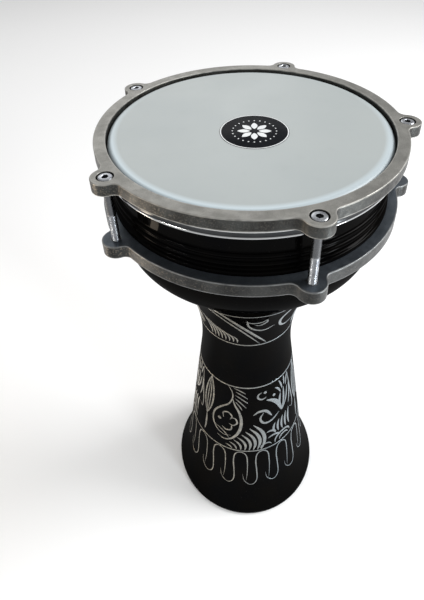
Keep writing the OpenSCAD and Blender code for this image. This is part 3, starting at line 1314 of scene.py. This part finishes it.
class Engraving:
    """The engraved bands, line by line, in generic leaf and scroll work."""

    line_zs = (297.0, 244.0, 184.0, 93.0)

    def lines(self) -> Band:
        """The plain lines round the stem.

        Returns:
            The band.
        """
        half = math.pi * 50 / 48
        cuts = [
            Stroke(((-half, z), (0, z), (half, z)), 1.5, False, True) for z in self.line_zs
        ]
        return Band("engraved_lines", 50.0, 48, cuts)

    def meander(self) -> Band:
        """The loops that hang from the lowest line over the flare.

        Returns:
            The band.
        """
        hanging = (
            (-2.0, 55), (-0.5, 46), (4.5, 40.2), (9.5, 41), (12.6, 48), (12.4, 62), (11.6, 76),
            (12.8, 86), (16.5, 90.6), (21.5, 90.4), (25.4, 85), (26.4, 73), (26.2, 58), (25.2, 46),
        )
        return Band("engraved_loops", 60.0, 16, [Stroke(hanging, 1.35)])

    def leaf(self) -> list[Stroke]:
        """The long leaf and the hook beside it.

        Returns:
            The cuts.
        """
        tip, foot = (-37.0, 184.0), (-39.5, 126.0)
        return [
            bowed(tip, foot, 5.2, 2.0), bowed(tip, foot, -5.2, 2.0), bowed(tip, foot, 1.6, 1.4),
            bowed(tip, foot, -1.6, 1.4), bowed(foot, (-40.5, 99.0), 0.6, 2.2),
            Stroke(((-51.5, 182), (-49, 158), (-46.5, 138), (-47.5, 127), (-52, 130)), 1.7),
        ]

    def drop(self) -> list[Stroke]:
        """The hanging drop with a small flower in it, and the rays beside its stalk.

        Returns:
            The cuts.
        """
        cuts = [
            Stroke((
                (-17.5, 184), (-13, 176), (-12.5, 168), (-16, 159), (-24, 150), (-30, 140),
                (-31.5, 128), (-27.5, 117), (-20, 112), (-12.5, 114),
            ), 1.9),
            Stroke((
                (-12.5, 168), (-10, 159), (-5.5, 149), (-3.5, 136), (-5.5, 122), (-11, 111),
                (-18.5, 105.5), (-26, 108),
            ), 3.0),
            Stroke(((-20.5, 137), (-21, 144), (-16, 146.5), (-12.3, 142), (-14, 137)), 1.8),
            Stroke(((-14.0, 139.5), (-9.2, 140), (-7.4, 134), (-11, 129.5), (-15, 131)), 1.8),
            Stroke(((-12.3, 129.5), (-12.8, 123), (-17.5, 120.5), (-21.5, 123.5)), 1.8),
            dot((-24.5, 133.5), 1.9), bowed((-30.5, 121), (-14, 108.5), 3.0, 1.3),
        ]
        for start, end in (
            ((-11.5, 182), (0.5, 176)), ((-9.5, 177.5), (2, 169.5)), ((-10, 173), (2.5, 163)),
            ((-10, 168.5), (1, 156.5)), ((-9.5, 163.5), (-3, 153.5)),
        ):
            cuts.append(bowed(start, end, 0.6, 1.2))
        return cuts

    def plume(self) -> list[Stroke]:
        """The plume of curved feathers that stands on the lowest line.

        Returns:
            The cuts.
        """
        cuts = []
        for i in range(8):
            t = i / 7
            base, tip = (-11 + 25.5 * t, 94.5), (-17.5 + 25 * t, 99 + 33 * t)
            cuts.append(bowed(base, tip, -1.2 - 5.0 * t, 1.5 + 2.1 * t))
        return cuts

    def blossom(self) -> list[Stroke]:
        """The open blossom with its scroll, dots and rays.

        Returns:
            The cuts.
        """
        return [
            ringlet((16.5, 171), 4.6, 95, 330, 2.2), dot((19.5, 174.5), 1.7), dot((29, 166), 1.7),
            Stroke(((20.5, 163.5), (27, 160), (33, 152), (37.3, 138)), 5.0),
            Stroke(((37.5, 138), (34.8, 150), (36.8, 163)), 3.4),
            Stroke(((37.5, 138), (40.5, 150), (41.5, 168)), 2.6),
            Stroke(((38, 138), (44, 149), (47, 165)), 2.2),
            bowed((37, 164), (30.5, 175), -1.2, 2.2), bowed((39.5, 167), (35.5, 181), -0.8, 2.2),
            bowed((42.5, 170), (42.5, 182.5), -0.5, 2.0), bowed((45, 167), (49, 182), 0.5, 2.0),
            Stroke(((7.5, 146), (13, 150), (20, 148.5), (25.5, 139)), 3.4),
            Stroke(((17.5, 147.5), (14.0, 140), (17, 132.6), (24.5, 132.0), (34, 138.6)), 2.6),
        ]

    def shells(self) -> list[Stroke]:
        """The small arches and stalks along the lowest line.

        Returns:
            The cuts.
        """
        cuts = [
            ringlet((19.0, 96.0), 5.0, 15, 200, 1.8), ringlet((22.5, 111), 6.0, 0, 120, 2.8),
            ringlet((26, 101), 8.0, 20, 130, 2.6), ringlet((36.5, 97.5), 9.0, 0, 190, 2.6),
            ringlet((37.5, 96.5), 5.2, 10, 180, 2.4), bowed((49.5, 166), (47, 138), 1.6, 2.0),
        ]
        for i, x in enumerate((27.5, 32.0, 36.5, 41.0, 45.5)):
            cuts.append(bowed((x, 112 - i), (x + 1.2, 126 + 1.6 * i), 1.4, 2.5))
        return cuts

    def garland(self) -> Band:
        """The main band, between the middle line and the lowest."""
        cuts = [*self.leaf(), *self.drop(), *self.plume(), *self.blossom(), *self.shells()]
        return Band("engraved_garland", 48.0, 3, cuts)

    def crest(self) -> Band:
        """The band under the kettle, with slanting ribbons, feathers and scrolls.

        Returns:
            The band.
        """
        cuts = [
            Stroke(((-31, 306), (-17, 285), (-2, 265.5), (12, 246.0)), 2.0),
            Stroke(((-24, 306), (-9, 283), (4, 265), (18, 246.5)), 3.4),
            Stroke(((0.5, 289), (2, 277), (8, 270), (15, 268.5), (22.5, 273)), 2.2),
            Stroke(((-0.5, 287), (5, 283.5), (11, 284.5), (14.5, 289)), 2.0),
            Stroke(((14.5, 289), (14.5, 283), (10, 278.5), (6, 280.5)), 1.8),
            Stroke(((42, 296), (33, 291), (27, 279), (29, 268), (36, 263.5), (43, 266)), 2.8),
            bowed((47.5, 252), (45.5, 285), -3.0, 1.8),
        ]
        for i in range(8):
            t = i / 7
            cuts.append(bowed((-33 + 25 * t, 247), (-40.5 + 27 * t, 274 - 17 * t), -2.6, 2.1 - 0.5 * t))
        for i in range(5):
            t = i / 4
            cuts.append(bowed((-47 + 5 * t, 249 + 6 * t), (-50 + 9 * t, 276 + 8 * t), 1.8, 1.5))
        return Band("engraved_crest", 46.0, 3, cuts)

    def build(self, shop: Workshop, stem: bpy.types.Object) -> None:
        """Makes every band."""
        for band in (self.lines(), self.meander(), self.garland(), self.crest()):
            band.build(shop, stem)


# ---------------------------------------------------------------- rings and screws


@dataclass
class Lugs:
    """Where the lugs stand round both rings, and their shape."""

    count: int = 5
    phase: float = 218.3
    reach: float = 112.0
    radius: float = 9.6
    fillet: float = 6.0

    def angle(self, number: int) -> float:
        """The direction in degrees of the lug with that number, from 0."""
        return self.phase - 360 / self.count * number

    def centre(self, number: int) -> Point:
        """A lug's centre in millimetres."""
        a = math.radians(self.angle(number))
        return (self.reach * math.cos(a), self.reach * math.sin(a))


@dataclass
class LuggedRing:
    """A cast ring with rounded edges and a hole in each lug."""

    name: str
    node: str
    body: str
    finish: "CastMetal"
    hole: tuple[tuple[float, float, float, float], ...]
    lugs: Lugs = field(default_factory=Lugs)
    inner_r: float = 101.5
    outer_r: float = 110.0
    bevel: float = 0.5
    band: float = 0.6
    sides: int = 40

    def rim(self, inset: float) -> list[Point]:
        """The outer outline, moved inwards by inset.

        Args:
            inset: How far inwards, in millimetres.

        Returns:
            The points of the outline.
        """
        lugs, made = self.lugs, []
        near, far = self.outer_r + lugs.fillet, lugs.radius + lugs.fillet
        swing = math.acos((near ** 2 + lugs.reach ** 2 - far ** 2) / (2 * near * lugs.reach))
        wide = math.atan2(near * math.sin(swing), near * math.cos(swing) - lugs.reach)
        s, w, step = math.degrees(swing), math.degrees(wide), 360 / lugs.count
        corner = (near * math.cos(swing), near * math.sin(swing))
        share = [
            *arc((corner[0], -corner[1]), lugs.fillet + inset, 180 - s, 180 - w, 12),
            *arc((lugs.reach, 0), lugs.radius - inset, -w, w, 36)[1:-1],
            *arc(corner, lugs.fillet + inset, w - 180, s - 180, 12),
            *arc((0, 0), self.outer_r - inset, s, step - s, 48)[1:-1],
        ]
        for number in range(lugs.count):
            a = math.radians(lugs.phase + number * step)
            made += [
                (x * math.cos(a) - y * math.sin(a), x * math.sin(a) + y * math.cos(a))
                for x, y in share
            ]
        return made

    def bore(self, inset: float) -> list[Point]:
        """The inner circle, moved into the metal by inset."""
        return arc((0, 0), self.inner_r + inset, 0, 360, 320)[:-1]

    def stack(self, low: float, high: float) -> list[tuple[float, float, float, float]]:
        """Inset, height, edge and wall of each loop, from the lower face to the upper.

        Args:
            low: The lower face's height.
            high: The upper face's height.

        Returns:
            One tuple for each loop.
        """
        b, made = self.bevel, [(self.bevel + self.band, low, 0.0, 0.0)]
        for k in range(5):
            a = math.radians(22.5 * k)
            made.append((b * (1 - math.sin(a)), low + b * (1 - math.cos(a)), 1.0, k / 4))
        made += [(0.0, low + b + self.band, 0.0, 1.0), (0.0, high - b - self.band, 0.0, 1.0)]
        for k in range(5):
            a = math.radians(22.5 * k)
            made.append((b * (1 - math.cos(a)), high - b * (1 - math.sin(a)), 1.0, 1 - k / 4))
        return [*made, (b + self.band, high, 0.0, 0.0)]

    def build(self, shop: Workshop) -> None:
        """Makes the ring.

        Args:
            shop: What makes the meshes and the pieces.
        """
        low, high = (corner.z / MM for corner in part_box(self.node))
        loft, tops, bottoms = Loft(), [], []
        for wall in (self.rim, self.bore):
            loops = [loft.loop(wall(i), *rest) for i, *rest in self.stack(low, high)]
            loft.bridge(*loops)
            bottoms.append(loops[0])
            tops.append(loops[-1])
        for number in range(self.lugs.count):
            centre = self.lugs.centre(number)
            loops = [
                loft.loop(arc(centre, r, 0, 360, self.sides)[:-1], high - drop, *rest)
                for r, drop, *rest in self.hole
            ]
            loft.bridge(*loops)
            tops.append(loops[0])
            bottoms.append(loops[-1])
        loft.cap(tops)
        loft.cap(bottoms)
        shop.piece(self.name, tidy(loft.done(self.name), 30), self.finish, self.body, [self.node])


@dataclass
class TensionScrew:
    """A socket screw with a rolled thread on its lower half."""

    number: int
    lugs: Lugs = field(default_factory=Lugs)
    head_z: float = 432.5
    head_h: float = 3.4
    head_r: float = 5.2
    shank_r: float = 2.98
    socket_r: float = 2.3
    socket_h: float = 2.0
    tip_z: float = 374.0
    thread_top: float = 406.5
    thread_depth: float = 0.5
    pitch: float = 1.0
    sides: int = 24

    def ring(self, radius: float) -> list[Point]:
        """A circle round the screw's own axis."""
        return arc((0, 0), radius, 0, 360, self.sides)[:-1]

    def build(self, shop: Workshop) -> None:
        """Makes the screw in its lug.

        Args:
            shop: What makes the meshes and the pieces.
        """
        name = f"tension_screw_{self.number + 1}"
        loft, top = Loft(), self.head_z + self.head_h
        r, s = self.head_r, self.shank_r
        rows = [
            (s, self.thread_top), (s, self.head_z - 0.5), (s + 0.25, self.head_z),
            (r - 0.3, self.head_z), (r, self.head_z + 0.3), (r, top - 1.5),
            (r - 0.08, top - 1.1), (r - 0.3, top - 0.65), (r - 0.7, top - 0.3), (r - 1.2, top - 0.1),
            (r - 1.9, top),
        ]
        loops = [loft.loop(self.ring(radius), z) for radius, z in rows]
        loft.bridge(*loops)
        hexes = [
            loft.loop(arc((0, 0), radius, 30, 390, 6)[:-1], z)
            for radius, z in (
                (self.socket_r + 0.2, top), (self.socket_r, top - 0.2),
                (self.socket_r, top - self.socket_h),
            )
        ]
        loft.bridge(*hexes)
        flat = (self.socket_r + 0.2) * math.cos(math.pi / 6)
        loft.cap([loops[-1], hexes[0]])
        loft.fan(hexes[-1], top - self.socket_h - flat * 0.25)
        tip = [
            loft.loop(self.ring(radius), z)
            for radius, z in ((s, self.tip_z + 0.6), (s - 0.5, self.tip_z + 0.05), (s - 0.7, self.tip_z))
        ]
        loft.bridge(*tip)
        loft.fan(tip[-1], self.tip_z)
        mesh = loft.done(name)
        thread = shop.thread.run(
            f"{name}_thread", bpy.data.meshes.new("thread_seed"), shop.palette.get(SCREW),
            crest=s * MM, depth=self.thread_depth * MM, pitch=self.pitch * MM,
            low=(self.tip_z + 0.6) * MM, high=self.thread_top * MM, sides=self.sides, rows=192,
        )
        work = bmesh.new()
        work.from_mesh(mesh)
        work.from_mesh(thread)
        x, y = self.lugs.centre(self.number)
        turn = Matrix.Rotation(math.radians(self.lugs.angle(self.number)), 4, "Z")
        work.transform(Matrix.Translation((x * MM, y * MM, 0)) @ turn)
        work.to_mesh(mesh)
        work.free()
        shop.piece(name + "_body", tidy(mesh, 35), SCREW, f"screw_{self.number + 1}", [name])


# ---------------------------------------------------------------- the head


@dataclass
class Head:
    """The film on its hoop, the resin that holds it and the printed label."""

    film_z: float = 434.0
    film_t: float = 0.3
    edge_c: Point = (97.1, 430.3)
    edge_r: float = 3.7
    skirt_z: float = 427.2
    hold_r: float = 102.6
    hold_z: float = 419.0
    hoop_low: float = 416.5
    label_r: float = 24.5
    label_t: float = 0.2
    label_at: Point = (4.0, -8.0)

    def film_line(self, depth: float) -> list[Point]:
        """The film's line at a depth under its outer face, from the axis outwards.

        Args:
            depth: How far under the outer skin, in millimetres.

        Returns:
            Radius and height of each point.
        """
        r, hold = self.edge_r - depth, self.hold_r + self.film_t - depth
        return [
            *((x, self.film_z - depth) for x in (0.0, 25.0, 50.0, 75.0, 90.0, 94.5)),
            *arc(self.edge_c, r, 90, 0, 16),
            (self.edge_c[0] + r, self.skirt_z + 0.6 - depth / 2),
            (self.edge_c[0] + r + 0.15, self.skirt_z - depth / 2),
            (hold - 0.2, self.skirt_z - 1.0 - depth / 2), (hold, self.skirt_z - 1.4 - depth / 2),
            (hold, self.hold_z),
        ]

    def hoop_line(self) -> list[Point]:
        """The hoop's closed section, with a rolled lip at both ends of its outer wall.

        Returns:
            Radius and height of each point.
        """
        z = self.hoop_low
        return [
            (101.2, z + 1.0), (101.2, z + 8.2), (101.35, z + 8.45), (101.6, z + 8.5),
            (101.85, z + 8.45), (102.0, z + 8.2), (102.0, z + 1.1), (102.3, z + 0.8),
            (103.6, z + 0.8), (103.9, z + 1.1), (103.95, z + 9.6), (104.2, z + 10.3),
            (104.62, z + 10.5), (104.75, z + 10.3), (104.75, z + 7.4),
            *arc((104.3, z + 6.4), 0.9, 60, -60, 8), (104.62, z + 5.1), (104.58, z + 4.2),
            (104.62, z + 3.1), *arc((104.05, z + 1.65), 1.15, 55, -90, 10),
            (102.0, z), (101.5, z + 0.25),
        ]

    def build(self, shop: Workshop) -> None:
        """Makes the film, the hoop and the label, and dresses the resin.

        Args:
            shop: What makes the meshes and the pieces.
        """
        body = Body.DRUM.value
        film = [*self.film_line(0), *self.film_line(self.film_t)[::-1]]
        mesh = shop.turned("film_skin", film, FILM, 256, closed=False)
        shop.piece("film_skin", mesh, FILM, body, ["drumhead"])
        mesh = shop.turned("rolled_hoop", self.hoop_line(), HOOP, 256)
        shop.piece("rolled_hoop", mesh, HOOP, body, ["flesh_hoop"])
        shop.dress_node("hoop_resin", RESIN)
        self.build_label(shop, body)

    def disc(self, shop: Workshop, name: str, outline: list[Point], finish: Finish) -> bpy.types.Mesh:
        """A turned piece moved to the label's centre."""
        mesh = shop.turned(name, outline, finish, 96, closed=outline[0][0] > 0)
        mesh.transform(Matrix.Translation((self.label_at[0] * MM, self.label_at[1] * MM, 0)))
        return mesh

    def build_label(self, shop: Workshop, body: str) -> None:
        """Makes the label: a black disc, a white border and a plain rosette.

        Args:
            shop: What makes the meshes and the pieces.
            body: The body that it rides on.
        """
        low, top, r = self.film_z, self.film_z + self.label_t, self.label_r
        disc = [(0, low), (r - 0.1, low), (r, low + 0.05), (r, top - 0.06), (r - 0.1, top), (0, top)]
        mesh = self.disc(shop, "label_disc", disc, LABEL_BLACK)
        shop.piece("label_disc", mesh, LABEL_BLACK, body, ["head_sticker"])
        rise = 0.03
        ring = [(r - 1.1, top - 0.02), (r - 0.25, top - 0.02), (r - 0.3, top + rise), (r - 1.05, top + rise)]
        mesh = self.disc(shop, "label_border", ring, LABEL_WHITE)
        shop.piece("label_border", mesh, LABEL_WHITE, body)
        centre = (self.label_at[0] * MM, self.label_at[1] * MM, 0)
        steps, start, length, half = 12, 3.0, 9.0, 2.3
        upper = [
            (start + length * t, half * math.sin(math.pi * t) ** 0.8)
            for t in (i / steps for i in range(steps + 1))
        ]
        lower = [
            (start + length * t, -half * math.sin(math.pi * t) ** 0.8)
            for t in (1 - i / steps for i in range(1, steps))
        ]
        petal = self.flat_shape([*upper, *lower], top, rise)
        bead_at, bead_r = (15.5, 0), 0.55
        bead = self.flat_shape(arc(bead_at, bead_r, 0, 360, 12)[:-1], top, rise)
        for name, seed, count in (("label_rosette", petal, 8), ("label_beads", bead, 24)):
            mesh = tidy(shop.rosette.run(
                name, seed, shop.palette.get(LABEL_WHITE), petals=count, centre=centre
            ))
            shop.piece(name, mesh, LABEL_WHITE, body)

    @staticmethod
    def flat_shape(points: Sequence[Point], z: float, rise: float) -> bpy.types.Mesh:
        """A thin plate of a printed shape, as a closed mesh.

        Args:
            points: The points, in millimetres.
            z: The height of the face that it lies on.
            rise: How far it stands up from that face.

        Returns:
            The new mesh.
        """
        loft = Loft()
        low, high = loft.loop(points, z - 0.02), loft.loop(points, z + rise)
        loft.bridge(low, high)
        loft.work.faces.new(high)
        loft.work.faces.new(low[::-1])
        return loft.done("printed_shape")


# ---------------------------------------------------------------- the studio


@dataclass
class Lamp:
    """One soft box."""

    name: str
    place: tuple[float, float, float]
    target: tuple[float, float, float]
    size: Point
    power: float
    colour: Colour = (1.0, 1.0, 1.0)

    def build(self) -> None:
        """Hangs the lamp and points it at its target."""
        data = bpy.data.lights.new(self.name, "AREA")
        data.shape, data.size, data.size_y = "RECTANGLE", *self.size
        data.energy, data.color = self.power, self.colour
        lamp = bpy.data.objects.new(self.name, data)
        lamp.location = self.place
        aim = Vector(self.target) - Vector(self.place)
        lamp.rotation_euler = aim.to_track_quat("-Z", "Y").to_euler()
        bpy.context.scene.collection.objects.link(lamp)


@dataclass
class Studio:
    """The pale floor, the lamps, the sky and the camera."""

    lens: float = 30.28
    place: tuple[float, float, float] = (0.0, -0.32187, 0.60654)
    turn: tuple[float, float, float] = (54.828, 1.798, 3.721)
    shift: float = -0.18667
    floor_r: float = 12.0
    sky: float = 0.54

    def build(self) -> None:
        """Sets up everything round the drum."""
        self.build_camera()
        self.build_floor()
        self.build_sky()
        for lamp in (
            Lamp("key_box", (1.35, 0.25, 1.5), (0, 0, 0.25), (0.8, 0.8), 27.0),
            Lamp("back_box", (-0.5, 1.7, 1.5), (0, 0, 0.3), (1.6, 0.9), 5.5),
            Lamp("left_strip", (-1.2, -0.9, 1.1), (0, 0, 0.4), (0.45, 0.018), 3.8, (1.0, 0.95, 0.88)),
            Lamp("right_strip", (1.1, -0.9, 0.9), (0, 0, 0.4), (0.30, 0.022), 6.6, (0.9, 0.96, 1.0)),
            Lamp("low_left", (-0.6, -0.15, 0.06), (0, 0, 0.42), (0.08, 0.26), 0.9, (1.0, 0.84, 0.66)),
            Lamp("low_right", (0.55, -0.3, 0.06), (0, 0, 0.42), (0.08, 0.30), 1.5, (0.9, 0.96, 1.0)),
        ):
            lamp.build()
        bpy.context.scene.view_settings.view_transform = "Standard"

    def build_camera(self) -> None:
        """Sets up the camera, which looks down on the drum from the front."""
        data = bpy.data.cameras.new("camera")
        data.lens, data.sensor_width, data.shift_y = self.lens, 36.0, self.shift
        data.clip_start = 0.01
        camera = bpy.data.objects.new("camera", data)
        camera.location = self.place
        camera.rotation_euler = [math.radians(a) for a in self.turn]
        bpy.context.scene.collection.objects.link(camera)
        bpy.context.scene.camera = camera

    def build_floor(self) -> None:
        """Lays the floor, a wide round sheet of pale paper."""
        mesh = bpy.data.meshes.new("floor")
        rim = [(x, y, 0.0) for x, y in arc((0, 0), self.floor_r, 0, 360, 96)[:-1]]
        mesh.from_pydata(rim, [], [tuple(range(len(rim)))])
        material = bpy.data.materials.new("pale_paper")
        material.use_nodes = True
        net = Net(material.node_tree)
        coords = net.add("ShaderNodeTexCoord").outputs["Object"]
        tone = net.mix(net.noise(coords, 300.0, 3), (0.955, 0.955, 0.955), (0.97, 0.97, 0.97))
        shader = net.add(
            "ShaderNodeBsdfPrincipled", {}, {"Base Color": tone, "Roughness": 0.9}
        ).outputs[0]
        net.add("ShaderNodeOutputMaterial", {}, {0: shader})
        mesh.materials.append(material)
        floor = bpy.data.objects.new("floor", mesh)
        bpy.context.scene.collection.objects.link(floor)

    def build_sky(self) -> None:
        """Fills the room with even light."""
        world = bpy.data.worlds.new("room")
        bpy.context.scene.world = world
        world.use_nodes = True
        net = Net(world.node_tree)
        light = net.add(
            "ShaderNodeBackground", {}, {"Color": (1, 1, 1, 1), "Strength": self.sky}
        ).outputs[0]
        net.add("ShaderNodeOutputWorld", {}, {0: light})


# The wall column marks the holes' sides, which the cast finish darkens as painted shade.
# Radius, drop below the top face, edge and wall of each loop down a lug's hole
TAPPED_HOLE = (
    (4.1, 0.0, 0.0, 0.0), (3.45, 0.0, 1.0, 0.0), (3.05, 0.4, 1.0, 1.0), (3.05, 9.6, 0.0, 1.0),
    (3.45, 10.0, 0.0, 0.0), (4.1, 10.0, 0.0, 0.0),
)
HEAD_RECESS = (
    (6.4, 0.0, 0.0, 0.0), (5.85, 0.0, 0.6, 0.0), (5.7, 0.15, 0.6, 1.0), (5.7, 1.0, 0.0, 1.0),
    (5.7, 3.5, 0.0, 1.0), (3.4, 3.5, 0.0, 1.0), (3.4, 8.7, 0.0, 1.0), (3.7, 9.0, 0.0, 0.0),
    (4.4, 9.0, 0.0, 0.0),
)


def main() -> None:
    """Builds the drum from the shell up, and the room round it."""
    logging.basicConfig(level=logging.INFO, format="%(message)s")
    Studio().build()
    shop = Workshop()
    kettle = Kettle()
    kettle.build(shop)
    stem = Stem(kettle.collar_r, kettle.seam_z).build(shop)
    Engraving().build(shop, stem)
    LuggedRing("lower_cast_ring", "lower_ring", Body.DRUM.value, CAST_LOW, TAPPED_HOLE).build(shop)
    LuggedRing("upper_cast_ring", "top_ring", Body.RING.value, CAST_TOP, HEAD_RECESS).build(shop)
    Head().build(shop)
    for number in range(Lugs().count):
        TensionScrew(number).build(shop)


if __name__ == "__main__":
    main()
